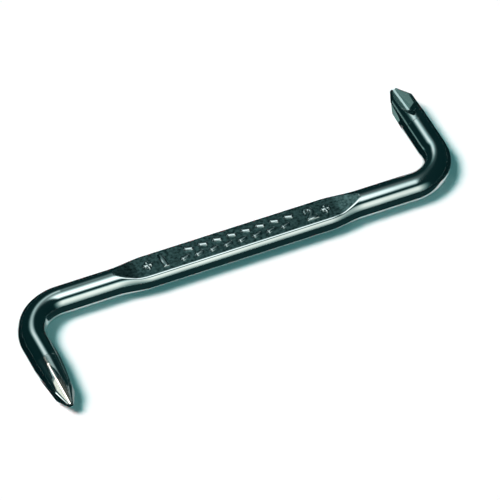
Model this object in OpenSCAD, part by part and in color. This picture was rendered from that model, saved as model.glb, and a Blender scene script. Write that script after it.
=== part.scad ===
// Offset screwdriver, forged in one piece from round bar.
// The bar lies along X with its middle at the origin. The leg with the smaller cross tip
// points along -Y at the -X end, and the leg with the larger one along +Y at the +X end.

/* [Overall] */
// Distance between the axes of the two legs
leg_span = 112; // [96:1:140]
// Length of each leg, from the axis of the bar to the end of its tip
leg_reach = 31.7; // [30:0.1:45]

/* [Bar] */
// Diameter of the round bar
bar_d = 7; // [6.4:0.1:7.6]
// Radius of the bar's centre line in the bend at the size 1 end
bend_1_r = 10.6; // [8:0.1:12]
// Radius of the bar's centre line in the bend at the size 2 end
bend_2_r = 9.7; // [8:0.1:12]

/* [Forged grip] */
// Length of the forged middle, over both of its blends into the round bar
grip_l = 64; // [50:1:68]
// Width of the grip where it is flattened
grip_w = 8.8; // [8:0.1:10]
// Thickness between the two flats
grip_t = 4.6; // [4:0.1:5.4]
// Radius of the grip's rounded sides
grip_side_r = 3.05; // [2.8:0.05:3.3]
// Length over which the bar swells to the width of the grip
swell_l = 9; // [6:0.5:12]
// Length of each flat, up to the start of its ramps
flat_l = 51; // [36:1:54]
// Slope of the ramps at the ends of the flats, in degrees
ramp_slope = 12.5; // [10:0.5:20]
// Radius of the hollow where a ramp runs into its flat
ramp_r = 9; // [2:0.5:12]

/* [Size 1 tip] */
// Diameter of the tapered leg where the point starts
tip_1_d = 5.4; // [4.8:0.1:5.8]
// Diameter of the blunt end
tip_1_end_d = 1.4; // [1.2:0.05:1.8]
// Distance from the end to where the straight flutes stop
tip_1_flute_l = 7.5; // [6:0.1:9]
// Slope of the floor of the flutes, in degrees
tip_1_flute_slope = 10.5; // [6:0.5:12]
// Distance from the leg's axis to the floor of a flute at the end
tip_1_root = 0.5; // [0.4:0.05:0.6]
// Width of the floor of a flute
tip_1_floor = 0.3; // [0.2:0.05:0.4]
// Radius of the run-out of the flutes
tip_1_runout_r = 12; // [8:0.5:14]
// Turn of the blades about the leg from the diagonals, in degrees
tip_1_turn = 15; // [-20:1:20]

/* [Size 2 tip] */
// Diameter of the tapered leg where the point starts
tip_2_d = 6.9; // [6:0.1:7.2]
// Diameter of the blunt end
tip_2_end_d = 2.3; // [2:0.05:2.6]
// Distance from the end to where the straight flutes stop
tip_2_flute_l = 8.4; // [6:0.1:9]
// Slope of the floor of the flutes, in degrees
tip_2_flute_slope = 5.75; // [5:0.25:7]
// Distance from the leg's axis to the floor of a flute at the end
tip_2_root = 0.75; // [0.6:0.05:0.9]
// Width of the floor of a flute
tip_2_floor = 0.5; // [0.3:0.05:0.6]
// Radius of the run-out of the flutes
tip_2_runout_r = 7.5; // [6:0.5:10]
// Turn of the blades about the leg from the diagonals, in degrees
tip_2_turn = -7; // [-20:1:20]

/* [Both tips] */
// Angle between the axis and the side of the point, in degrees
point_angle = 26.5; // [24:0.5:30]
// Distance from the end of a leg to where its tip's taper starts
tip_l = 14; // [13:0.5:16]
// Angle between the two sides of a flute, in degrees
flute_angle = 92; // [84:1:100]

/* [Hidden] */
$fn = 96;

bar_r = bar_d / 2;
half_span = leg_span / 2;
half_grip = grip_l / 2;
shank_end = leg_reach - tip_l;
steel = [0.44, 0.52, 0.52];

// Overrun of every cut past the steel that it removes
cut_over = bar_d / 4;

// Sides of a ring of the forged grip, and rings in each of its two blends
ring_sides = 56;
blend_rings = 14;

// Smooth step from 0 to 1 as t goes from 0 to 1
function ease(t) = let (u = min(max(t, 0), 1)) u * u * (3 - 2 * u);

// Share of the grip's full shape at a place along the bar
function swell_at(x) = ease((half_grip - abs(x)) / swell_l);

// Radius of the rounded sides, and how far their centres stand off the bar's axis
function side_r_at(x) = bar_r + (grip_side_r - bar_r) * swell_at(x);
function side_off_at(x) = (grip_w / 2 - grip_side_r) * swell_at(x);

// One ring of the grip, as two half rounds that stand apart
function ring_at(x) = [
  for (i = [0:ring_sides - 1])
    let (a = 360 * (i + 0.5) / ring_sides - 90, side = i < ring_sides / 2 ? 1 : -1)
    [x, side * side_off_at(x) + side_r_at(x) * cos(a), side_r_at(x) * sin(a)]
];

// Places of the rings, close together in the blends and none between them
grip_places = concat(
  [for (i = [0:blend_rings]) -half_grip + swell_l * i / blend_rings],
  [for (i = [0:blend_rings]) half_grip - swell_l * (1 - i / blend_rings)]
);

// Closed skin through a list of rings that have equally many points
module skin(rings) {
  n = len(rings[0]);
  last = (len(rings) - 1) * n;
  walls = [
    for (k = [0:len(rings) - 2], i = [0:n - 1])
      let (a = k * n + i, b = k * n + (i + 1) % n)
      each [[a, a + n, b], [b, a + n, b + n]]
  ];
  caps = [[for (i = [0:n - 1]) i], [for (i = [n - 1:-1:0]) last + i]];
  polyhedron([for (ring = rings) each ring], concat(walls, caps));
}

// What the die presses away above the upper flat: the flat, a ramp at each end of it,
// and a hollow of ramp_r between the two
module die() {
  flat_z = grip_t / 2;
  ramp_start = flat_l / 2;
  hollow_end = ramp_start + ramp_r * sin(ramp_slope);
  hollow_z = flat_z + ramp_r * (1 - cos(ramp_slope));
  top_z = bar_r + cut_over;
  top_x = hollow_end + (top_z - hollow_z) / tan(ramp_slope);
  die_w = grip_w + 2 * cut_over;

  rotate([90, 0, 0])
    linear_extrude(height = die_w, center = true)
      polygon([
        [-ramp_start, flat_z], [ramp_start, flat_z], [hollow_end, hollow_z],
        [top_x, top_z], [-top_x, top_z], [-hollow_end, hollow_z]
      ]);
  for (side = [-1, 1])
    intersection() {
      translate([side * ramp_start, 0, flat_z + ramp_r])
        rotate([90, 0, 0])
          cylinder(r = ramp_r, h = die_w, center = true);
      translate([side * ramp_start, 0, top_z / 2])
        cube([4 * ramp_r, 2 * die_w, top_z], center = true);
    }
}

// The forged middle of the bar, swollen sideways and pressed flat above and below
module grip() {
  color(steel)
    difference() {
      skin([for (x = grip_places) ring_at(x)]);
      die();
      mirror([0, 0, 1]) die();
    }
}

// Moves a leg that stands on the origin along Z to its end of the bar: 1 or 2
module at_end(end) {
  rotate([0, 0, end == 1 ? 180 : 0])
    translate([half_span, 0, 0])
      rotate([-90, 0, 0])
        children();
}

// Round bar between the grip and a bend
module arm(end, bend_r) {
  arm_l = half_span - bend_r - half_grip;
  rotate([0, 0, end == 1 ? 180 : 0])
    translate([half_grip, 0, 0])
      rotate([0, 90, 0])
        cylinder(r = bar_r, h = arm_l);
}

// Quarter turn of the bar into a leg
module bend(end, bend_r) {
  rotate([0, 0, end == 1 ? 180 : 0])
    translate([half_span - bend_r, bend_r, 0])
      rotate([0, 0, -90])
        rotate_extrude(angle = 90)
          translate([bend_r, 0])
            circle(r = bar_r);
}

// Plain round part of a leg
module shank(end, bend_r) {
  at_end(end)
    translate([0, 0, bend_r])
      cylinder(r = bar_r, h = shank_end - bend_r);
}

// Path of a V-rimmed wheel that comes in from the end of the leg along +Z, runs out at
// runout_r, and leaves a flute on the +X side
module flute(flute_l, slope, root, floor_w, runout_r) {
  flank = tan(flute_angle / 2);
  deep = bar_r + cut_over;
  half_floor = floor_w / 2;
  half_mouth = half_floor + deep * flank;
  travel = flute_l / cos(slope) + deep;
  hub_r = runout_r - deep;

  translate([root + flute_l * tan(slope), 0, leg_reach - flute_l])
    rotate([0, -slope, 0]) {
      linear_extrude(height = travel)
        polygon([[0, -half_floor], [deep, -half_mouth], [deep, half_mouth], [0, half_floor]]);
      translate([runout_r, 0, 0])
        rotate([90, 0, 0])
          rotate_extrude()
            polygon([
              [0, -half_mouth], [hub_r, -half_mouth], [runout_r, -half_floor],
              [runout_r, half_floor], [hub_r, half_mouth], [0, half_mouth]
            ]);
    }
}

// Cross tip: a taper from the shank to the point, the point, and four flutes between blades
// that stand on the diagonals
module cross_tip(end, point_r, end_r, turn, flute_l, slope, root, floor_w, runout_r) {
  point_l = (point_r - end_r) / tan(point_angle);
  at_end(end)
    difference() {
      union() {
        translate([0, 0, shank_end])
          cylinder(r1 = bar_r, r2 = point_r, h = tip_l - point_l);
        translate([0, 0, leg_reach - point_l])
          cylinder(r1 = point_r, r2 = end_r, h = point_l);
      }
      for (quarter = [0:3])
        rotate([0, 0, turn + 90 * quarter])
          flute(flute_l, slope, root, floor_w, runout_r);
    }
}

module arm_1() {
  color(steel) arm(1, bend_1_r);
}

module arm_2() {
  color(steel) arm(2, bend_2_r);
}

module bend_1() {
  color(steel) bend(1, bend_1_r);
}

module bend_2() {
  color(steel) bend(2, bend_2_r);
}

module shank_1() {
  color(steel) shank(1, bend_1_r);
}

module shank_2() {
  color(steel) shank(2, bend_2_r);
}

module tip_1() {
  color(steel)
    cross_tip(1, tip_1_d / 2, tip_1_end_d / 2, tip_1_turn, tip_1_flute_l, tip_1_flute_slope,
              tip_1_root, tip_1_floor, tip_1_runout_r);
}

module tip_2() {
  color(steel)
    cross_tip(2, tip_2_d / 2, tip_2_end_d / 2, tip_2_turn, tip_2_flute_l, tip_2_flute_slope,
              tip_2_root, tip_2_floor, tip_2_runout_r);
}

grip();
arm_1();
arm_2();
bend_1();
bend_2();
shank_1();
shank_2();
tip_1();
tip_2();
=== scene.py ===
"""Offset screwdriver: a forged and plated steel bar with a cross tip on each bent end.

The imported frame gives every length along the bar. This script models the steel again with
fine rings, so that it can carry mirror-like reflections, and builds the studio round it.
"""

import logging
import math
from dataclasses import dataclass
from enum import Enum
from typing import Sequence

import bpy
import numpy as np
from mathutils import Matrix, Vector


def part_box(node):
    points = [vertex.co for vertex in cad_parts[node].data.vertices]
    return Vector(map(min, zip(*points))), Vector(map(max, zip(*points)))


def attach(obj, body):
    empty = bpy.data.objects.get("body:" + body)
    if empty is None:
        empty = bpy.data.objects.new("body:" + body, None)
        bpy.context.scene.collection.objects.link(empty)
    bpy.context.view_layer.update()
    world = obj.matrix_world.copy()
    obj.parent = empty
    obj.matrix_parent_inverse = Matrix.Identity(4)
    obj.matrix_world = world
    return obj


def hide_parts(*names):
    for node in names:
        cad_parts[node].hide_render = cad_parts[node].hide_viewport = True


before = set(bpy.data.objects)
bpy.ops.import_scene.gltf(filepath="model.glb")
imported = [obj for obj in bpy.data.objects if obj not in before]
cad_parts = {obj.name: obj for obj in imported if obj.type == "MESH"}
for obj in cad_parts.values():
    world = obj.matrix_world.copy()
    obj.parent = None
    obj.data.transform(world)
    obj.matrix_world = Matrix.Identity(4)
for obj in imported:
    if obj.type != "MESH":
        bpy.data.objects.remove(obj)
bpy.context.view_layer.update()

MM = 0.001
BODY = "root"
Triple = tuple[float, float, float]
log = logging.getLogger("offset_screwdriver")


class Slot(Enum):
    """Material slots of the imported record."""

    POLISHED = "polished_steel"
    GROUND = "ground_steel"


class End(Enum):
    """The two ends of the bar, by the size of their cross tip."""

    SIZE_1 = 1
    SIZE_2 = 2

    @property
    def side(self) -> int:
        """Side of the bar's middle on which this end lies: -1 or 1."""
        return -1 if self is End.SIZE_1 else 1


def linear(hex_code: str) -> tuple[float, float, float, float]:
    """Turns an sRGB hex colour into the linear RGBA that shaders take.

    Args:
        hex_code: Colour such as "8fa3a4".

    Returns:
        Linear red, green, blue and an alpha of 1.
    """
    parts = [int(hex_code[i:i + 2], 16) / 255 for i in (0, 2, 4)]
    low = [c / 12.92 if c <= 0.04045 else ((c + 0.055) / 1.055) ** 2.4 for c in parts]
    return (*low, 1.0)


def add_node(tree: bpy.types.NodeTree, kind: str, links: dict | None = None,
             **settings: object) -> bpy.types.Node:
    """Adds a shader node, sets its properties and sockets, and links its inputs.

    Args:
        tree: Node tree that gets the node.
        kind: Class name of the node.
        links: Input socket (name or number) to the output socket that feeds it.
        **settings: Node properties; a key "inputs" is a dict of socket to constant.

    Returns:
        The new node.
    """
    node = tree.nodes.new(kind)
    for socket, value in settings.pop("inputs", {}).items():
        node.inputs[socket].default_value = value
    for name, value in settings.items():
        setattr(node, name, value)
    for socket, output in (links or {}).items():
        tree.links.new(output, node.inputs[socket])
    return node


def new_material(name: str) -> tuple[bpy.types.Material, bpy.types.NodeTree]:
    """Starts a node material with an empty tree.

    Args:
        name: Name of the material.

    Returns:
        The material and its tree.
    """
    material = bpy.data.materials.new(name)
    material.use_nodes = True
    material.node_tree.nodes.clear()
    return material, material.node_tree


def deselect() -> None:
    """Leaves edit mode and deselects every object."""
    if bpy.context.object and bpy.context.object.mode != "OBJECT":
        bpy.ops.object.mode_set(mode="OBJECT")
    bpy.ops.object.select_all(action="DESELECT")


def activate(piece: bpy.types.Object) -> None:
    """Selects one object alone and makes it active.

    Args:
        piece: Object to select.
    """
    deselect()
    piece.select_set(True)
    bpy.context.view_layer.objects.active = piece


def edit(piece: bpy.types.Object) -> None:
    """Opens one object in edit mode with nothing selected.

    Args:
        piece: Object to open.
    """
    activate(piece)
    bpy.ops.object.mode_set(mode="EDIT")
    bpy.ops.mesh.select_all(action="DESELECT")


def copy_of(first: bpy.types.Object) -> bpy.types.Object:
    """Copies an object with a mesh of its own.

    Args:
        first: Object to copy.

    Returns:
        The copy.
    """
    copy = first.copy()
    copy.data = first.data.copy()
    bpy.context.scene.collection.objects.link(copy)
    return copy


def close_ends() -> None:
    """Closes each open ring of the tube in edit mode and turns its faces outwards."""
    bpy.ops.mesh.select_mode(type="EDGE")
    bpy.ops.mesh.select_all(action="DESELECT")
    bpy.ops.mesh.select_non_manifold(extend=False, use_wire=False, use_multi_face=False,
                                     use_non_contiguous=False, use_verts=False)
    bpy.ops.mesh.edge_face_add()
    bpy.ops.mesh.select_all(action="SELECT")
    bpy.ops.mesh.normals_make_consistent(inside=False)
    bpy.ops.object.mode_set(mode="OBJECT")


def apply_modifier(piece: bpy.types.Object, kind: str, **settings: object) -> None:
    """Adds a modifier with its settings to a piece and applies it.

    Args:
        piece: Object that gets the modifier.
        kind: Type of the modifier.
        **settings: Properties of the modifier.
    """
    activate(piece)
    modifier = piece.modifiers.new(kind.lower(), kind)
    for name, value in settings.items():
        setattr(modifier, name, value)
    bpy.ops.object.modifier_apply(modifier=modifier.name)


def smooth(piece: bpy.types.Object, degrees: float = 30.0) -> None:
    """Shades a piece smooth, apart from its sharper edges.

    Args:
        piece: Object to shade.
        degrees: Angle between two faces past which their edge stays sharp.
    """
    activate(piece)
    bpy.ops.object.shade_smooth_by_angle(angle=math.radians(degrees))


def fit_piece(piece: bpy.types.Object, material: bpy.types.Material,
              nodes: Sequence[str]) -> None:
    """Dresses a finished piece and fastens it to the frame.

    Args:
        piece: Finished object, with its place in its mesh.
        material: Its finish.
        nodes: CAD nodes that it stands for.
    """
    piece.data.materials.clear()
    piece.data.materials.append(material)
    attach(piece, BODY)
    if nodes:
        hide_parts(*nodes)
    log.info("%s: %d faces, for %s", piece.name, len(piece.data.polygons),
             ", ".join(nodes) or "no node")


@dataclass(frozen=True)
class PlatedSteel:
    """Chromium-plated forged steel, polished on a belt before plating.

    The plating repeats the polished steel under it, so it mirrors the studio softly, with a
    faint waviness from the forging and fine belt lines along the bar.
    """

    name: str = "plated_forged_steel"
    tint: str = "c1cccb"
    stain: str = "a8b6b5"
    roughness: float = 0.1
    wave_mm: float = 7.0
    wave_depth_mm: float = 0.008
    line_mm: float = 0.16
    line_depth_mm: float = 0.0005
    lines_across: Vector = Vector((0.02, 1.0, 1.0))

    def bump(self, tree: bpy.types.NodeTree, height: bpy.types.NodeSocket, depth_mm: float,
             under: bpy.types.NodeSocket | None = None) -> bpy.types.NodeSocket:
        """Adds relief of a real depth.

        Args:
            tree: Node tree of the material.
            height: Height of the relief, from 0 to 1.
            depth_mm: Depth of the relief where the height is 1.
            under: Normal of the relief under it, if there is one.

        Returns:
            The normal.
        """
        links = {"Height": height} | ({"Normal": under} if under else {})
        node = add_node(tree, "ShaderNodeBump", links,
                        inputs={"Distance": depth_mm * MM, "Strength": 1.0})
        return node.outputs[0]

    def noise(self, tree: bpy.types.NodeTree, place: bpy.types.NodeSocket, size_mm: float,
              detail: float) -> bpy.types.NodeSocket:
        """Adds cloudy noise whose blots have a real size.

        Args:
            tree: Node tree of the material.
            place: Coordinates that it follows.
            size_mm: Size of a blot.
            detail: Finer layers of noise over the first.

        Returns:
            The value of the noise.
        """
        node = add_node(tree, "ShaderNodeTexNoise", {"Vector": place},
                        inputs={"Scale": 1 / (size_mm * MM), "Detail": detail})
        return node.outputs["Fac"]

    def mix(self, tree: bpy.types.NodeTree, share: bpy.types.NodeSocket, first: str,
            second: str) -> bpy.types.NodeSocket:
        """Adds a blend of two colours.

        Args:
            tree: Node tree of the material.
            share: Share of the second colour.
            first: First colour, as sRGB hex.
            second: Second colour, as sRGB hex.

        Returns:
            The colour.
        """
        node = add_node(tree, "ShaderNodeMix", {"Factor": share}, data_type="RGBA")
        node.inputs["A"].default_value = linear(first)
        node.inputs["B"].default_value = linear(second)
        return node.outputs["Result"]

    def dress(self, tree: bpy.types.NodeTree,
              place: bpy.types.NodeSocket) -> dict[str, bpy.types.NodeSocket]:
        """Adds the colour, roughness and relief of the belt-polished steel.

        Args:
            tree: Node tree of the material.
            place: Object coordinates.

        Returns:
            Links for the sockets of the steel shader.
        """
        along = add_node(tree, "ShaderNodeMapping", {"Vector": place},
                         inputs={"Scale": self.lines_across})
        wave = self.noise(tree, place, self.wave_mm, 1.0)
        lines = self.noise(tree, along.outputs[0], self.line_mm, 2.0)
        bent = self.bump(tree, wave, self.wave_depth_mm)
        return {"Base Color": self.mix(tree, wave, self.tint, self.stain),
                "Normal": self.bump(tree, lines, self.line_depth_mm, bent)}

    def build(self) -> bpy.types.Material:
        """Builds the material.

        Returns:
            The material.
        """
        material, tree = new_material(self.name)
        place = add_node(tree, "ShaderNodeTexCoord").outputs["Object"]
        steel = add_node(tree, "ShaderNodeBsdfPrincipled", self.dress(tree, place),
                         inputs={"Metallic": 1.0, "Roughness": self.roughness})
        add_node(tree, "ShaderNodeOutputMaterial", {"Surface": steel.outputs[0]})
        return material


@dataclass(frozen=True)
class DiePressedSteel(PlatedSteel):
    """The same steel, with faces that the forging die left matt and slightly pitted.

    Belt and plating reach the rounded sides only, so the flats and ramps look darker and
    mottled beside them. These faces are found by their normal: they alone have no slant
    across the bar.
    """

    name: str = "die_pressed_plated_steel"
    pressed_tint: str = "7a9c9b"
    pressed_stain: str = "324c4c"
    pressed_roughness: float = 0.34
    mottle_mm: float = 0.8
    mottle_depth_mm: float = 0.035
    pit_mm: float = 0.28
    pit_depth_mm: float = 0.012
    blots_from: float = 0.32
    blots_to: float = 0.66
    flat_slant: float = 0.1
    round_slant: float = 0.3
    round_top_mm: float = 3.46
    top_band_mm: float = 0.04

    def pressed_share(self, tree: bpy.types.NodeTree,
                      place: bpy.types.NodeSocket) -> bpy.types.NodeSocket:
        """Adds the test for the die's faces.

        Args:
            tree: Node tree of the material.
            place: Object coordinates.

        Returns:
            A factor that is 1 on the flats and ramps and 0 on the round bar.
        """
        normal = add_node(tree, "ShaderNodeNewGeometry").outputs["Normal"]
        slant = add_node(tree, "ShaderNodeSeparateXYZ", {0: normal}).outputs["Y"]
        height = add_node(tree, "ShaderNodeSeparateXYZ", {0: place}).outputs["Z"]
        steps = []
        top = self.round_top_mm * MM
        band = (self.round_top_mm - self.top_band_mm) * MM
        for value, low, high in ((slant, self.flat_slant, self.round_slant), (height, band, top)):
            size = add_node(tree, "ShaderNodeMath", {0: value}, operation="ABSOLUTE")
            steps.append(add_node(tree, "ShaderNodeMapRange", {"Value": size.outputs[0]},
                                  inputs={"From Min": low, "From Max": high,
                                          "To Min": 1.0, "To Max": 0.0}).outputs[0])
        return add_node(tree, "ShaderNodeMath", {0: steps[0], 1: steps[1]},
                        operation="MULTIPLY").outputs[0]

    def dress(self, tree: bpy.types.NodeTree,
              place: bpy.types.NodeSocket) -> dict[str, bpy.types.NodeSocket]:
        """Adds the pressed finish over the polished one, on the die's faces.

        Args:
            tree: Node tree of the material.
            place: Object coordinates.

        Returns:
            Links for the sockets of the steel shader.
        """
        links = super().dress(tree, place)
        share = self.pressed_share(tree, place)
        mottle = self.noise(tree, place, self.mottle_mm, 3.0)
        pits = self.noise(tree, place, self.pit_mm, 1.0)
        blots = add_node(tree, "ShaderNodeMapRange", {"Value": mottle},
                         inputs={"From Min": self.blots_from, "From Max": self.blots_to}).outputs[0]
        pressed = self.mix(tree, blots, self.pressed_stain, self.pressed_tint)
        tone = add_node(tree, "ShaderNodeMix",
                        {"Factor": share, "A": links["Base Color"], "B": pressed}, data_type="RGBA")
        dull = add_node(tree, "ShaderNodeMapRange", {"Value": share},
                        inputs={"To Min": self.roughness, "To Max": self.pressed_roughness})
        normal = links["Normal"]
        for height, depth in ((mottle, self.mottle_depth_mm), (pits, self.pit_depth_mm)):
            kept = add_node(tree, "ShaderNodeMath", {0: height, 1: share}, operation="MULTIPLY")
            normal = self.bump(tree, kept.outputs[0], depth, normal)
        return {"Base Color": tone.outputs["Result"], "Roughness": dull.outputs[0],
                "Normal": normal}


@dataclass(frozen=True)
class BarSizes:
    """Sizes of the bar along its length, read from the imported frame, in metres."""

    bar_r: float
    half_span: float
    half_grip: float
    shank_end: float
    leg_reach: float
    bend_r: dict[End, float]

    @classmethod
    def from_frame(cls) -> "BarSizes":
        """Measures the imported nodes.

        Returns:
            The sizes of this tool.
        """
        arm_low, arm_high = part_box("arm_2")
        tip_low, tip_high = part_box("tip_2")
        return cls(
            bar_r=arm_high.z,
            half_span=(tip_low.x + tip_high.x) / 2,
            half_grip=arm_low.x,
            shank_end=tip_low.y,
            leg_reach=tip_high.y,
            bend_r={End.SIZE_1: -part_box("shank_1")[1].y, End.SIZE_2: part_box("shank_2")[0].y},
        )


@dataclass
class RoundBar:
    """Plain round stretches of the bar: arms, bends and shanks.

    Attributes:
        sizes: Sizes along the bar.
        steel: Finish of the bar.
        sides: Sides of a ring.
        turn_steps: Rings in a quarter turn.
    """

    sizes: BarSizes
    steel: bpy.types.Material
    sides: int = 144
    turn_steps: int = 72

    def ring(self, name: str, place: Vector, facing: Vector) -> bpy.types.Object:
        """Adds one ring of the bar and opens it in edit mode, selected.

        Args:
            name: Name of the piece that starts from it.
            place: Centre of the ring.
            facing: Direction of the bar there.

        Returns:
            The new object, with its place in its mesh.
        """
        deselect()
        bpy.ops.mesh.primitive_circle_add(vertices=self.sides, radius=self.sizes.bar_r)
        ring = bpy.context.object
        ring.name = ring.data.name = name
        turn = facing.to_track_quat("Z", "Y").to_matrix().to_4x4()
        ring.matrix_world = Matrix.Translation(place) @ turn
        bpy.ops.object.transform_apply(location=True, rotation=True, scale=True)
        edit(ring)
        bpy.ops.mesh.select_all(action="SELECT")
        return ring

    def finish(self, piece: bpy.types.Object, node: str) -> bpy.types.Object:
        """Closes, shades and dresses one stretch of bar.

        Args:
            piece: The open stretch, in edit mode.
            node: CAD node that it stands for.

        Returns:
            The piece.
        """
        close_ends()
        smooth(piece)
        fit_piece(piece, self.steel, [node])
        return piece

    def straight(self, name: str, node: str, start: Vector, run: Vector) -> bpy.types.Object:
        """Draws a ring out into a straight stretch.

        Args:
            name: Name of the piece.
            node: CAD node that it stands for.
            start: Centre of its first ring.
            run: Vector to its last ring.

        Returns:
            The piece.
        """
        piece = self.ring(name, start, run.normalized())
        bpy.ops.mesh.extrude_region_move(TRANSFORM_OT_translate={"value": run})
        return self.finish(piece, node)

    def bend(self, end: End) -> bpy.types.Object:
        """Spins a ring through a quarter turn into one bend.

        Args:
            end: The end of the bar that it turns.

        Returns:
            The piece.
        """
        side = end.side
        radius = self.sizes.bend_r[end]
        start = Vector((side * (self.sizes.half_span - radius), 0, 0))
        piece = self.ring(f"bend_{end.value}_steel", start, Vector((side, 0, 0)))
        bpy.ops.mesh.spin(steps=self.turn_steps, angle=-math.pi / 2, dupli=False,
                          center=start + Vector((0, side * radius, 0)), axis=(0, 0, 1))
        return self.finish(piece, f"bend_{end.value}")

    def build(self) -> dict[End, list[bpy.types.Object]]:
        """Builds both arms, both bends and both shanks.

        Returns:
            The arm, the bend and the shank of each end.
        """
        halves = {}
        for end in End:
            side, radius = end.side, self.sizes.bend_r[end]
            arm_l = self.sizes.half_span - radius - self.sizes.half_grip
            arm = self.straight(f"arm_{end.value}_steel", f"arm_{end.value}",
                                Vector((side * self.sizes.half_grip, 0, 0)),
                                Vector((side * arm_l, 0, 0)))
            bend = self.bend(end)
            shank = self.straight(f"shank_{end.value}_steel", f"shank_{end.value}",
                                  Vector((side * self.sizes.half_span, side * radius, 0)),
                                  Vector((0, side * (self.sizes.shank_end - radius), 0)))
            halves[end] = [arm, bend, shank]
        return halves


@dataclass
class ForgedGrip(RoundBar):
    """Forged middle of the bar: swollen sideways and pressed flat above and below.

    The lengths are millimetres. The press rounds the long edges of each flat and runs out
    into the round bar at both ends.
    """

    half_width: float = 4.4
    half_thickness: float = 2.3
    side_r: float = 3.05
    swell_l: float = 9.0
    half_flat: float = 25.5
    ramp_slope: float = 12.5
    ramp_r: float = 9.0
    edge_round: float = 0.3
    runout_l: float = 3.0
    ring_step: float = 0.25
    blend_l: float = 12.0

    def swell(self, x: np.ndarray) -> np.ndarray:
        """Share of the full swell at places along the bar."""
        u = np.clip((self.sizes.half_grip / MM - np.abs(x)) / self.swell_l, 0, 1)
        return u * u * (3 - 2 * u)

    def die_height(self, x: np.ndarray) -> np.ndarray:
        """Height of the die's face above the bar's axis: flat, hollow, then ramp.

        Args:
            x: Places along the bar, in millimetres.

        Returns:
            The heights, in millimetres.
        """
        slope = math.radians(self.ramp_slope)
        run = np.abs(x) - self.half_flat
        hollow_l = self.ramp_r * math.sin(slope)
        in_hollow = np.clip(run, 0, hollow_l)
        hollow = self.ramp_r - np.sqrt(self.ramp_r ** 2 - in_hollow ** 2)
        return self.half_thickness + hollow + np.maximum(run - hollow_l, 0) * math.tan(slope)

    def forge(self, co: np.ndarray) -> np.ndarray:
        """Moves points of a plain round bar to where the forging has them.

        Args:
            co: Points of the round bar, in millimetres.

        Returns:
            Points of the forged grip, in millimetres.
        """
        bar_r = self.sizes.bar_r / MM
        x, y, z = co.T
        share = self.swell(x)
        radius = bar_r + (self.side_r - bar_r) * share
        stand_off = (self.half_width - self.side_r) * share
        wide = y / bar_r * radius + np.sign(y) * stand_off
        tall = np.abs(z) / bar_r * radius
        die = self.die_height(x)
        ease = np.clip((self.sizes.half_grip / MM - np.abs(x)) / self.runout_l, 0, 1)
        soft = np.maximum(self.edge_round * ease, 1e-6)
        overlap = np.clip(soft - np.abs(tall - die), 0, None)
        pressed = np.minimum(tall, die) - overlap ** 2 / (4 * soft)
        pressed = np.where(ease > 0, pressed, tall)
        return np.stack([x, wide, np.sign(z) * pressed], axis=1)

    def build(self) -> bpy.types.Object:
        """Draws out the round bar ring by ring and forges it.

        Returns:
            The grip.
        """
        half = self.sizes.half_grip
        piece = self.ring("grip_steel", Vector((-half, 0, 0)), Vector((1, 0, 0)))
        steps = round(self.blend_l / self.ring_step)
        middle = 2 * half - 2 * self.blend_l * MM
        for run in [self.ring_step * MM] * steps + [middle] + [self.ring_step * MM] * steps:
            bpy.ops.mesh.extrude_region_move(TRANSFORM_OT_translate={"value": (run, 0, 0)})
        close_ends()
        co = np.empty(len(piece.data.vertices) * 3)
        piece.data.vertices.foreach_get("co", co)
        piece.data.vertices.foreach_set("co", (self.forge(co.reshape(-1, 3) / MM) * MM).ravel())
        piece.data.update()
        smooth(piece)
        fit_piece(piece, self.steel, ["grip"])
        return piece


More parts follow.
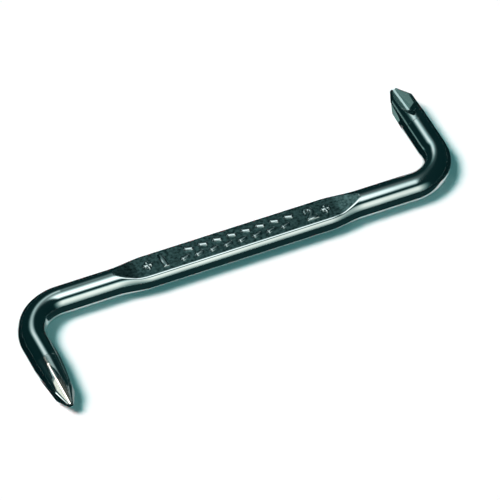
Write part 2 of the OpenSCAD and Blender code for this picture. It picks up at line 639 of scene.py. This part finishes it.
@dataclass
class GripMarks:
    """Raised marks on the upper flat: a cross and the size number at each end, treads between.

    The lengths are millimetres. The marks have rounded, worn tops, so that their sides towards
    the front catch the light.
    """

    steel: bpy.types.Material
    flat_z: float = 2.3
    relief: float = 0.5
    sunk: float = 0.06
    number_tall: float = 4.4
    number_edge: float = 0.5
    number_flatten: float = 0.9
    number_x: float = 19.0
    cross_x: float = 23.0
    cross_l: float = 2.9
    tread_l: float = 2.8
    tread_w: float = 1.45
    tread_pitch: float = 3.7
    tread_turn: float = 14.0
    treads: int = 8
    rows: int = 2
    row_pitch: float = 2.4
    curve_steps: int = 6
    edge_steps: int = 4
    tread_segments: int = 24
    tread_rings: int = 16
    weld_gap: float = 0.002
    sharp_angle: float = 50.0

    def weld(self, mark: bpy.types.Object) -> bpy.types.Object:
        """Welds a mark and turns its faces outwards.

        Args:
            mark: The mark.

        Returns:
            The same mark.
        """
        edit(mark)
        bpy.ops.mesh.select_all(action="SELECT")
        bpy.ops.mesh.remove_doubles(threshold=self.weld_gap * MM)
        bpy.ops.mesh.normals_make_consistent(inside=False)
        bpy.ops.object.mode_set(mode="OBJECT")
        return mark

    def number(self, end: End) -> bpy.types.Object:
        """Raises the size number of one end.

        Args:
            end: The end whose size it gives.

        Returns:
            The number as a mesh.
        """
        deselect()
        bpy.ops.object.text_add()
        mark = bpy.context.object
        mark.data.body = str(end.value)
        mark.data.resolution_u = self.curve_steps
        bpy.context.view_layer.update()
        mark.data.size = (self.number_tall - 2 * self.number_edge) / mark.dimensions.y
        mark.data.extrude = self.sunk
        mark.data.bevel_depth = self.number_edge
        mark.data.bevel_resolution = self.edge_steps
        bpy.ops.object.convert(target="MESH")
        low = [min(v.co[i] for v in mark.data.vertices) for i in range(3)]
        high = [max(v.co[i] for v in mark.data.vertices) for i in range(3)]
        middle = Vector([(a + b) / 2 for a, b in zip(low, high)])
        half_tall = (high[2] - low[2]) / 2 * self.number_flatten
        place = Vector((end.side * self.number_x, 0, self.flat_z + self.relief - half_tall))
        mark.data.transform(Matrix.Scale(MM, 4) @ Matrix.Translation(place)
                            @ Matrix.Diagonal((1, 1, self.number_flatten, 1))
                            @ Matrix.Translation(-middle))
        return self.weld(mark)

    def tread(self, length: float) -> bpy.types.Object:
        """Draws a ball out into one worn bar, which lies along X at the origin.

        Args:
            length: Its length in millimetres.

        Returns:
            The bar as a mesh.
        """
        deselect()
        bpy.ops.mesh.primitive_uv_sphere_add(segments=self.tread_segments,
                                             ring_count=self.tread_rings,
                                             radius=self.tread_w / 2 * MM)
        mark = bpy.context.object
        edit(mark)
        bpy.ops.mesh.select_all(action="SELECT")
        bpy.ops.transform.resize(value=(1, 1, 2 * (self.relief + self.sunk) / self.tread_w))
        bpy.ops.mesh.select_all(action="DESELECT")
        bpy.ops.object.mode_set(mode="OBJECT")
        for face in mark.data.polygons:
            face.select = face.center.x > 0
        bpy.ops.object.mode_set(mode="EDIT")
        reach = (length - self.tread_w) * MM
        bpy.ops.mesh.extrude_region_move(TRANSFORM_OT_translate={"value": (reach, 0, 0)})
        bpy.ops.mesh.select_all(action="SELECT")
        bpy.ops.transform.translate(value=(-reach / 2, 0, 0))
        return self.weld(mark)

    def lay(self, first: bpy.types.Object, x: float, y: float, turn: float) -> bpy.types.Object:
        """Lays a copy of a bar on the flat.

        Args:
            first: The bar at the origin.
            x: Place along the grip, in millimetres.
            y: Place across it, in millimetres.
            turn: Turn on the flat, in degrees.

        Returns:
            The copy, with its place in its mesh.
        """
        mark = copy_of(first)
        mark.data.transform(Matrix.Translation(Vector((x, y, self.flat_z - self.sunk)) * MM)
                            @ Matrix.Rotation(math.radians(turn), 4, "Z"))
        return mark

    def build(self) -> bpy.types.Object:
        """Raises all the marks and joins them into one piece.

        Returns:
            The marks.
        """
        marks = [self.number(end) for end in End]
        arm = self.tread(self.cross_l)
        marks += [self.lay(arm, end.side * self.cross_x, 0, turn)
                  for end in End for turn in (0, 90)]
        first = self.tread(self.tread_l)
        for row in range(self.rows):
            step = row - (self.rows - 1) / 2
            turn = (-1) ** row * self.tread_turn
            for number in range(self.treads):
                x = (number - (self.treads - 1) / 2 + step / 2) * self.tread_pitch
                marks.append(self.lay(first, x, step * self.row_pitch, turn))
        bpy.data.objects.remove(arm)
        bpy.data.objects.remove(first)
        deselect()
        for mark in marks:
            mark.select_set(True)
        bpy.context.view_layer.objects.active = marks[0]
        bpy.ops.object.join()
        piece = bpy.context.object
        piece.name = piece.data.name = "grip_marks"
        smooth(piece, self.sharp_angle)
        fit_piece(piece, self.steel, [])
        return piece


@dataclass
class CrossTip(RoundBar):
    """Cross tip: tapered leg and point, with four ground flutes.

    The lengths are millimetres and the angles are degrees, as on the drawing of the tip.
    """

    end: End = End.SIZE_1
    point_d: float = 5.4
    end_d: float = 1.4
    flute_l: float = 7.5
    flute_slope: float = 10.5
    root: float = 0.5
    floor: float = 0.3
    runout_r: float = 12.0
    turn: float = 15.0
    point_angle: float = 26.5
    flute_angle: float = 92.0
    flutes: int = 4
    overrun_share: float = 1.5
    runout_turn: float = 75.0
    runout_steps: int = 48
    edge: float = 0.11
    edge_segments: int = 2
    sharp_angle: float = 30.0
    weld_gap: float = 0.004
    ring_step: float = 0.35

    def leg(self, along: float, out: float = 0.0) -> Vector:
        """Place on this leg, by distances in millimetres along it and upwards."""
        side = self.end.side
        return Vector((side * self.sizes.half_span, side * along * MM, out * MM))

    def blank(self) -> bpy.types.Object:
        """Turned blank of the tip: taper, then point.

        Returns:
            The closed blank.
        """
        start, nose = self.sizes.shank_end / MM, self.sizes.leg_reach / MM
        point_l = (self.point_d - self.end_d) / 2 / math.tan(math.radians(self.point_angle))
        piece = self.ring(f"tip_{self.end.value}_steel", self.leg(start),
                          Vector((0, self.end.side, 0)))
        radius = self.sizes.bar_r / MM
        here = start
        for stop, stop_r in ((nose - point_l, self.point_d / 2), (nose, self.end_d / 2)):
            steps = math.ceil((stop - here) / self.ring_step)
            step, thin = (stop - here) / steps, (stop_r - radius) / steps
            for _ in range(steps):
                here += step
                grown = (radius + thin) / radius
                radius += thin
                bpy.ops.mesh.extrude_region_move(
                    TRANSFORM_OT_translate={"value": (0, self.end.side * step * MM, 0)})
                bpy.ops.transform.resize(value=(grown, 1, grown), center_override=self.leg(here))
        close_ends()
        return piece

    def wheel_path(self) -> bpy.types.Object:
        """Steel that one pass of the grinding wheel takes away on the top of the leg.

        Returns:
            A V-shaped bar, straight from beyond the nose, that then turns up out of the leg.
        """
        side = self.end.side
        slope = math.radians(self.flute_slope)
        deep = self.overrun_share * self.sizes.bar_r / MM
        nose = self.sizes.leg_reach / MM
        out = self.root + self.flute_l * math.tan(slope)
        inward = Vector((0, -side * math.cos(slope), math.sin(slope)))
        lift = Vector((0, side * math.sin(slope), math.cos(slope)))
        contact = self.leg(nose - self.flute_l, out)
        travel = (self.flute_l / math.cos(slope) + deep) * MM
        half_floor = self.floor / 2
        half_mouth = half_floor + deep * math.tan(math.radians(self.flute_angle / 2))
        deselect()
        bpy.ops.mesh.primitive_plane_add(size=2)
        cutter = bpy.context.object
        for corner in cutter.data.vertices:
            is_mouth = corner.co.y > 0
            reach = math.copysign(half_mouth if is_mouth else half_floor, corner.co.x)
            corner.co = Vector((reach * MM, 0, 0)) + lift * (deep * MM if is_mouth else 0)
        cutter.location = contact - inward * travel
        bpy.ops.object.transform_apply(location=True, rotation=True, scale=True)
        edit(cutter)
        bpy.ops.mesh.select_all(action="SELECT")
        bpy.ops.mesh.extrude_region_move(TRANSFORM_OT_translate={"value": inward * travel})
        bpy.ops.mesh.spin(steps=self.runout_steps, angle=side * math.radians(self.runout_turn),
                          dupli=False, center=contact + lift * self.runout_r * MM, axis=(1, 0, 0))
        bpy.ops.mesh.select_all(action="SELECT")
        bpy.ops.mesh.normals_make_consistent(inside=False)
        bpy.ops.object.mode_set(mode="OBJECT")
        return cutter

    def build(self) -> bpy.types.Object:
        """Turns the blank, grinds its four flutes and takes the burr off its edges.

        Returns:
            The tip.
        """
        piece = self.blank()
        first = self.wheel_path()
        axis = Matrix.Translation(self.leg(0))
        for number in range(self.flutes):
            cutter = copy_of(first)
            angle = math.radians(360 / self.flutes * number + self.end.side * self.turn)
            cutter.data.transform(axis @ Matrix.Rotation(angle, 4, "Y") @ axis.inverted())
            apply_modifier(piece, "BOOLEAN", operation="DIFFERENCE", object=cutter,
                           solver="EXACT")
            bpy.data.objects.remove(cutter)
        bpy.data.objects.remove(first)
        edit(piece)
        bpy.ops.mesh.select_all(action="SELECT")
        bpy.ops.mesh.remove_doubles(threshold=self.weld_gap * MM)
        bpy.ops.object.mode_set(mode="OBJECT")
        apply_modifier(piece, "BEVEL", width=self.edge * MM, segments=self.edge_segments,
                       limit_method="ANGLE", angle_limit=math.radians(self.sharp_angle))
        smooth(piece, self.sharp_angle)
        apply_modifier(piece, "WEIGHTED_NORMAL", keep_sharp=True)
        fit_piece(piece, self.steel, [f"tip_{self.end.value}"])
        return piece


def group(name: str, *pieces: bpy.types.Object) -> bpy.types.Collection:
    """Puts pieces into a collection that a card can be kept to.

    Args:
        name: Name of the collection.
        *pieces: Pieces that it holds.

    Returns:
        The collection.
    """
    collection = bpy.data.collections.new(name)
    for piece in pieces:
        collection.objects.link(piece)
    return collection


@dataclass(frozen=True)
class LitParts:
    """Parts of the tool that a card can be kept to.

    Attributes:
        small_tip: The size 1 tip.
        small_leg: That tip with its shank and bend.
        large_tip: The size 2 tip.
        large_leg: That tip with its shank and bend.
        no_small_leg: The tool without the size 1 leg.
    """

    small_tip: bpy.types.Collection
    small_leg: bpy.types.Collection
    large_tip: bpy.types.Collection
    large_leg: bpy.types.Collection
    no_small_leg: bpy.types.Collection


def hide_from_all_but_mirrors(thing: bpy.types.Object) -> None:
    """Keeps a studio card out of the picture and off the floor: only reflections show it.

    Args:
        thing: The card.
    """
    thing.visible_camera = False
    thing.visible_diffuse = False
    thing.visible_shadow = False


@dataclass(frozen=True)
class SoftCard:
    """Glowing cloth card that only the steel mirrors: bright inside, teal and dim at its rim.

    Attributes:
        name: Name of the card.
        towards: Direction from the tool to the card.
        half_width: Half of its width across that direction, in degrees seen from the tool.
        half_height: Half of its height, in degrees.
        glow: Brightness of its middle, where 1 is white.
        side_rim: Share of each half of its width over which it dims.
        low_rim: Share of half its height over which it dims at its lower edge.
        high_rim: The same at its upper edge.
        lean: Direction that its height follows.
        heart: Colour of its middle.
        receivers: Pieces that alone see it, or none for all of them.
    """

    name: str
    towards: Triple
    half_width: float
    half_height: float
    glow: float
    side_rim: float = 1.0
    low_rim: float = 1.0
    high_rim: float = 1.0
    lean: Triple = (0.0, 0.0, 1.0)
    heart: str = "ffffff"
    rim: str = "59a4a3"
    receivers: bpy.types.Collection | None = None

    def dimming(self, tree: bpy.types.NodeTree, along: bpy.types.NodeSocket, low_rim: float,
                high_rim: float) -> bpy.types.NodeSocket:
        """Adds the dimming across one direction of the card.

        Args:
            tree: Node tree of the card.
            along: Place along that direction, from -1 to 1.
            low_rim: Share of half the card over which it dims towards -1.
            high_rim: The same towards 1.

        Returns:
            A factor that is 1 inside and 0 at both edges.
        """
        steps = [add_node(tree, "ShaderNodeMapRange", {"Value": along},
                          interpolation_type="SMOOTHSTEP",
                          inputs={"From Min": edge, "From Max": inner}).outputs[0]
                 for edge, inner in ((-1.0, low_rim - 1.0), (1.0, 1.0 - high_rim))]
        return add_node(tree, "ShaderNodeMath", {0: steps[0], 1: steps[1]},
                        operation="MULTIPLY").outputs[0]

    def cloth(self) -> bpy.types.Material:
        """Weaves the glowing cloth, which lets the cards behind it show through.

        Returns:
            The cloth.
        """
        material, tree = new_material(self.name)
        place = add_node(tree, "ShaderNodeTexCoord").outputs["Object"]
        axes = add_node(tree, "ShaderNodeSeparateXYZ", {0: place})
        wide = self.dimming(tree, axes.outputs["X"], self.side_rim, self.side_rim)
        tall = self.dimming(tree, axes.outputs["Y"], self.low_rim, self.high_rim)
        inside = add_node(tree, "ShaderNodeMath", {0: wide, 1: tall},
                          operation="MULTIPLY").outputs[0]
        tint = add_node(tree, "ShaderNodeMix", {"Factor": inside}, data_type="RGBA")
        tint.inputs["A"].default_value = linear(self.rim)
        tint.inputs["B"].default_value = linear(self.heart)
        bright = add_node(tree, "ShaderNodeMath", {0: inside}, operation="MULTIPLY",
                          inputs={1: self.glow})
        glow = add_node(tree, "ShaderNodeEmission", {"Color": tint.outputs["Result"],
                                                     "Strength": bright.outputs[0]})
        clear = add_node(tree, "ShaderNodeBsdfTransparent")
        both = add_node(tree, "ShaderNodeAddShader", {0: glow.outputs[0], 1: clear.outputs[0]})
        add_node(tree, "ShaderNodeOutputMaterial", {"Surface": both.outputs[0]})
        return material

    def build(self) -> None:
        """Hangs the card a metre from the tool."""
        deselect()
        bpy.ops.mesh.primitive_plane_add(size=2)
        card = bpy.context.object
        card.name = self.name
        back = Vector(self.towards).normalized()
        across = Vector(self.lean).cross(back).normalized()
        width, height = (math.tan(math.radians(half))
                         for half in (self.half_width, self.half_height))
        card.matrix_world = (Matrix.Translation(back)
                             @ Matrix((across, back.cross(across), back)).transposed().to_4x4()
                             @ Matrix.Diagonal((width, height, 1, 1)))
        card.data.materials.append(self.cloth())
        if self.receivers:
            card.light_linking.receiver_collection = self.receivers
        hide_from_all_but_mirrors(card)


@dataclass(frozen=True)
class Studio:
    """Camera, floor and lamps, in metres and degrees."""

    azimuth: float = -24.12
    elevation: float = 45.816
    distance: float = 1.3
    pixels_per_mm: float = 4.2186
    frame_pixels: int = 500
    sensor: float = 36.0
    clip_start: float = 0.01
    right_of_middle: float = 0.00312
    above_middle: float = -0.00142
    floor_size: float = 40.0
    floor_white: str = "ffffff"
    floor_glow: Triple = (0.035, 0.115, 0.115)
    high_lamp_place: Triple = (-0.59, 0.05, 1.0)
    high_lamp_light: Triple = (0.40, 0.72, 0.72)
    low_lamp_place: Triple = (-0.71, 0.13, 1.0)
    low_lamp_light: Triple = (0.59, 0.17, 0.17)
    lamp_spread: float = 20.0
    bulb_gap: float = 0.12
    bulbs: int = 3
    room: str = "102e30"
    dark_card: str = "0d2426"
    front_floor_card: str = "1d393b"
    card_reach: float = 1.5
    card_gap_mm: float = 1.5
    card_lift_mm: float = 0.01

    def camera_axes(self) -> Matrix:
        """Works out how the camera stands.

        Returns:
            Columns of its right, up and back directions.
        """
        turn, tilt = math.radians(self.azimuth), math.radians(self.elevation)
        back = Vector((math.sin(turn) * math.cos(tilt), -math.cos(turn) * math.cos(tilt),
                       math.sin(tilt)))
        right = Vector((math.cos(turn), math.sin(turn), 0))
        return Matrix((right, back.cross(right), back)).transposed()

    def add_camera(self) -> None:
        """Adds the camera at the photograph's angle and distance."""
        data = bpy.data.cameras.new("camera")
        data.sensor_width = self.sensor
        data.lens = self.pixels_per_mm * self.distance / MM * self.sensor / self.frame_pixels
        data.clip_start = self.clip_start
        camera = bpy.data.objects.new("camera", data)
        axes = self.camera_axes()
        aim = axes @ Vector((self.right_of_middle, self.above_middle, 0))
        stand = aim + axes @ Vector((0, 0, self.distance))
        camera.matrix_world = Matrix.Translation(stand) @ axes.to_4x4()
        bpy.context.scene.collection.objects.link(camera)
        bpy.context.scene.camera = camera

    def add_lamp(self, name: str, place: Triple, light: Triple) -> None:
        """Adds one soft strip lamp that lights the floor and throws the tool's shadow.

        Args:
            name: Name of the lamp.
            place: Direction from the tool to the middle of the lamp, which runs along Y.
            light: Red, green and blue that it gives a white floor, where 1 is white.
        """
        for number in range(self.bulbs):
            step = (number - (self.bulbs - 1) / 2) * self.bulb_gap
            back = (Vector(place) + Vector((0, step, 0))).normalized()
            data = bpy.data.lights.new(f"{name}_{number}", "SUN")
            data.angle = math.radians(self.lamp_spread)
            data.energy = math.pi / back.z / self.bulbs
            data.color = light
            lamp = bpy.data.objects.new(data.name, data)
            lamp.matrix_world = back.to_track_quat("Z", "Y").to_matrix().to_4x4()
            lamp.visible_glossy = False
            bpy.context.scene.collection.objects.link(lamp)

    def add_floor(self, drop: float) -> None:
        """Adds the white floor under the tool, which keeps the tool's shadow.

        Args:
            drop: Depth of the floor under the bar's axis.
        """
        deselect()
        bpy.ops.mesh.primitive_plane_add(size=self.floor_size, location=(0, 0, -drop))
        floor = bpy.context.object
        floor.name = "floor"
        # White paper is matt and even, and its glow alone gives the shadow its teal
        material, tree = new_material("white_paper")
        paper = add_node(tree, "ShaderNodeBsdfDiffuse", inputs={"Color": linear(self.floor_white)})
        path = add_node(tree, "ShaderNodeLightPath")
        seen = add_node(tree, "ShaderNodeMath", {0: path.outputs["Is Camera Ray"],
                                                 1: path.outputs["Is Glossy Ray"]}, operation="MAXIMUM")
        seen = add_node(tree, "ShaderNodeMath", {0: seen.outputs[0],
                                                 1: path.outputs["Is Transmission Ray"]},
                        operation="MAXIMUM")
        glow = add_node(tree, "ShaderNodeEmission", {"Strength": seen.outputs[0]},
                        inputs={"Color": (*self.floor_glow, 1.0)})
        both = add_node(tree, "ShaderNodeAddShader", {0: paper.outputs[0], 1: glow.outputs[0]})
        add_node(tree, "ShaderNodeOutputMaterial", {"Surface": both.outputs[0]})
        floor.data.materials.append(material)

    def add_dark_cards(self, sizes: BarSizes) -> None:
        """Lays dark cards on the floor round the tool, for the steel's mirror alone.

        Args:
            sizes: Sizes along the bar, which the cards leave room for.
        """
        gap = self.card_gap_mm * MM
        far = self.card_reach
        out = sizes.half_span + sizes.bar_r + gap
        within = sizes.half_span - sizes.bar_r - gap
        near = sizes.bar_r + gap
        nose = sizes.leg_reach + gap
        corners = (((-within, -far), (far, -near)), ((-far, -far), (-out, far)),
                   ((-out, -far), (-within, -nose)))
        materials = []
        for name, colour in (("dark_card", self.dark_card),
                             ("front_floor_card", self.front_floor_card)):
            material, tree = new_material(name)
            dull = add_node(tree, "ShaderNodeEmission", inputs={"Color": linear(colour)})
            add_node(tree, "ShaderNodeOutputMaterial", {"Surface": dull.outputs[0]})
            materials.append(material)
        for side, name in ((1, "near"), (-1, "far")):
            for number, ((x1, y1), (x2, y2)) in enumerate(corners):
                is_front = side == 1 and number == 0
                deselect()
                bpy.ops.mesh.primitive_plane_add(size=1)
                card = bpy.context.object
                card.name = f"dark_card_{name}_{number}"
                card.scale = (x2 - x1, y2 - y1, 1)
                middle = Vector(((x1 + x2) / 2, (y1 + y2) / 2, 0)) * side
                card.location = middle + Vector((0, 0, -sizes.bar_r + self.card_lift_mm * MM))
                card.data.materials.append(materials[is_front])
                hide_from_all_but_mirrors(card)

    def add_room(self) -> None:
        """Adds the dim room round the table."""
        world = bpy.data.worlds.new("room")
        bpy.context.scene.world = world
        world.use_nodes = True
        world.node_tree.nodes["Background"].inputs["Color"].default_value = linear(self.room)

    def cards(self, parts: LitParts) -> list[SoftCard]:
        """Lists the cards that the steel mirrors.

        The fill cards light its other sides. They hang where no round part of the tool
        mirrors them towards the main camera.

        Args:
            parts: Parts of the tool that some of the cards light alone.

        Returns:
            The cards.
        """
        return [
            SoftCard("overhead_card", (0.12, 0.0, 0.993), 18, 28, 2.25, side_rim=0.35, low_rim=0.6,
                     lean=(0, 1, 0)),
            SoftCard("overhead_halo", (0.285, 0.39, 0.876), 14, 38, 0.3, lean=(0, 1, 0)),
            SoftCard("front_card", (0.27, -0.915, 0.296), 32, 34, 1.8, low_rim=1.3, high_rim=0.48,
                     heart="fffaf3"),
            SoftCard("leg_card", (-0.094, 0.60, 0.79), 24, 14, 1.75, receivers=parts.no_small_leg),
            SoftCard("small_leg_card", (0.06, 0.60, 0.79), 22, 14, 1.6, receivers=parts.small_leg),
            SoftCard("small_flute_card", (-0.24, 0.0, 0.97), 8, 30, 7.5, low_rim=0.4, high_rim=0.4,
                     lean=(0, 1, 0), heart="ffe6dc", rim="d0bcb0", receivers=parts.small_tip),
            SoftCard("small_left_card", (-0.99, -0.10, 0.05), 12, 12, 4.0, receivers=parts.small_tip),
            SoftCard("small_edge_card", (0.775, -0.095, 0.624), 10, 10, 0.8, receivers=parts.small_tip),
            SoftCard("small_right_card", (0.84, 0.48, 0.26), 5, 5, 1.2, receivers=parts.small_tip),
            SoftCard("large_bend_card", (0.05, 0.75, 0.66), 16, 13, 1.2, receivers=parts.large_leg),
            SoftCard("large_flute_card", (0.157, 0.776, 0.611), 7, 7, 2.4, receivers=parts.large_tip),
            SoftCard("large_wall_card", (-0.31, 0.775, 0.56), 9, 9, 1.4, heart="c4e2dc",
                     receivers=parts.large_tip),
            SoftCard("large_left_card", (-0.68, 0.73, 0.07), 16, 8, 0.8, heart="c4e2dc",
                     receivers=parts.large_leg),
            SoftCard("right_fill_card", (0.60, 0.79, 0.13), 10, 14, 1.4),
            SoftCard("left_fill_card", (-0.82, 0.05, 0.57), 20, 28, 1.2, lean=(0, 1, 0)),
            SoftCard("rear_fill_card", (-0.10, -0.70, 0.71), 28, 14, 1.2),
        ]

    def build(self, sizes: BarSizes, cards: Sequence[SoftCard]) -> None:
        """Builds the whole studio.

        Args:
            sizes: Sizes along the bar.
            cards: Cards that the steel mirrors.
        """
        self.add_camera()
        self.add_floor(sizes.bar_r)
        self.add_dark_cards(sizes)
        self.add_room()
        self.add_lamp("high_lamp", self.high_lamp_place, self.high_lamp_light)
        self.add_lamp("low_lamp", self.low_lamp_place, self.low_lamp_light)
        for card in cards:
            card.build()
        bpy.context.scene.view_settings.view_transform = "Standard"


def main() -> None:
    """Builds the tool and the studio, and reports each piece."""
    logging.basicConfig(level=logging.INFO, format="%(message)s")
    sizes = BarSizes.from_frame()
    polished = PlatedSteel().build()
    pressed = DiePressedSteel().build()
    marked = PlatedSteel(name="raised_plated_steel", roughness=0.15, wave_depth_mm=0.0).build()
    ground = PlatedSteel(name="ground_plated_steel", roughness=0.14, wave_depth_mm=0.0).build()
    halves = RoundBar(sizes, polished).build()
    grip = ForgedGrip(sizes, pressed).build()
    marks = GripMarks(marked).build()
    small_tip = CrossTip(sizes, ground).build()
    large_tip = CrossTip(sizes, ground, end=End.SIZE_2, point_d=6.9, end_d=2.3, flute_l=8.4,
                         flute_slope=5.75, root=0.75, floor=0.5, runout_r=7.5, turn=-7.0).build()
    small_arm, *small_leg = halves[End.SIZE_1] + [small_tip]
    large_arm, *large_leg = halves[End.SIZE_2] + [large_tip]
    parts = LitParts(group("small_tip", small_tip), group("small_leg", *small_leg),
                     group("large_tip", large_tip), group("large_leg", *large_leg),
                     group("no_small_leg", grip, marks, small_arm, large_arm, *large_leg))
    studio = Studio()
    studio.build(sizes, studio.cards(parts))


if __name__ == "__main__":
    main()
